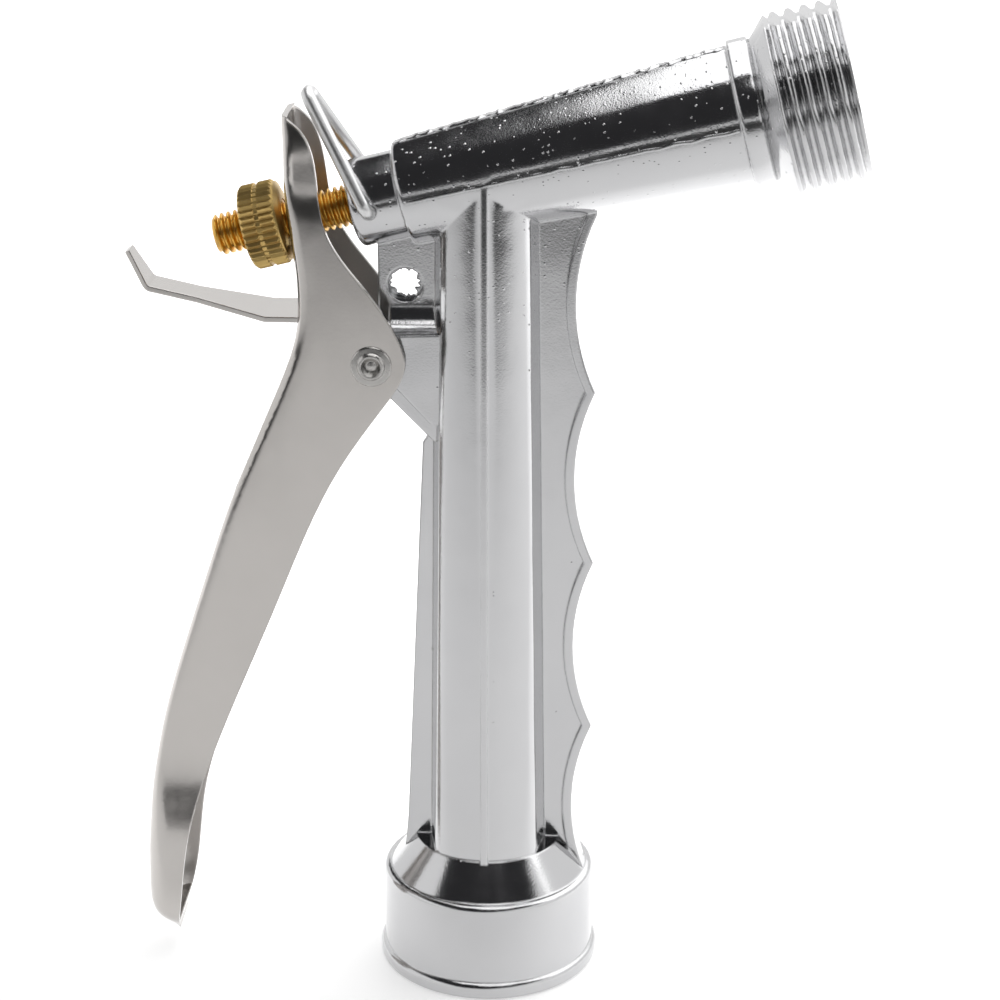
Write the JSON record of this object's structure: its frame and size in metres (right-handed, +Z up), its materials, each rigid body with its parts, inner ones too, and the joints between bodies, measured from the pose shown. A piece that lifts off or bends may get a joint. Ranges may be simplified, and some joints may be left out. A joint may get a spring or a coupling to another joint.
{
  "type": "hose spray nozzle",
  "caption": "Rear-trigger metal garden hose nozzle with a pressed lever, wire hold-open bail, knurled adjusting nut and a sprung valve in its barrel.",
  "frame": {"origin": "centre of the inlet collar's open end, where the hose screws in", "axes": "+Z up the grip from the inlet, +X towards the outlet, symmetric about the XZ plane"},
  "size_m": [0.1072, 0.0338, 0.1498],
  "materials": {
    "plated_casting": "bright chrome plate over a slightly rippled zinc casting",
    "pressed_steel": "satin plated pressed steel",
    "rivet_steel": "plated tubular rivet",
    "bail_wire": "bright drawn wire",
    "nut_brass": "knurled and lightly tarnished",
    "stem_brass": "turned and threaded",
    "spring_wire": "stainless spring wire",
    "seal_rubber": "black moulded rubber"
  },
  "bodies": {
    "housing": {"nozzle_body": "plated_casting", "stem_packing": "seal_rubber", "packing_washer": "stem_brass", "return_spring": "spring_wire", "outlet_seat": "stem_brass", "hose_washer": "seal_rubber"},
    "lever": {"lever": "pressed_steel", "pivot_rivet": "rivet_steel"},
    "bail": {"hold_open_bail": "bail_wire"},
    "stem": {"valve_stem": "stem_brass", "valve_disc": "stem_brass", "valve_washer": "seal_rubber", "valve_cone": "stem_brass"},
    "nut": {"adjusting_nut": "nut_brass"}
  },
  "joints": [
    {"name": "lever_squeeze", "type": "hinge", "parent": "housing", "child": "lever", "pos_m": [-0.0165, 0, 0.098], "axis": [0, -1, 0], "range_deg": [0, 18], "stiffness_Nm_per_rad": 0.25, "springref_deg": -22.92},
    {"name": "bail_swing", "type": "hinge", "parent": "housing", "child": "bail", "pos_m": [-0.01643, 0, 0.12082], "axis": [0, 1, 0], "range_deg": [-3, 38]},
    {"name": "stem_slide", "type": "slide", "parent": "housing", "child": "stem", "axis": [-0.9707, 0, -0.2402], "range_m": [0, 0.0071], "deforming": ["return_spring"]},
    {"name": "nut_turn", "type": "hinge", "parent": "stem", "child": "nut", "pos_m": [-0.03204, 0, 0.11727], "axis": [-0.9707, 0, -0.2402], "continuous": true}
  ],
  "couplings": [
    {"joint": "stem_slide", "follows": "lever_squeeze", "m_per_rad": 0.02244}
  ]
}
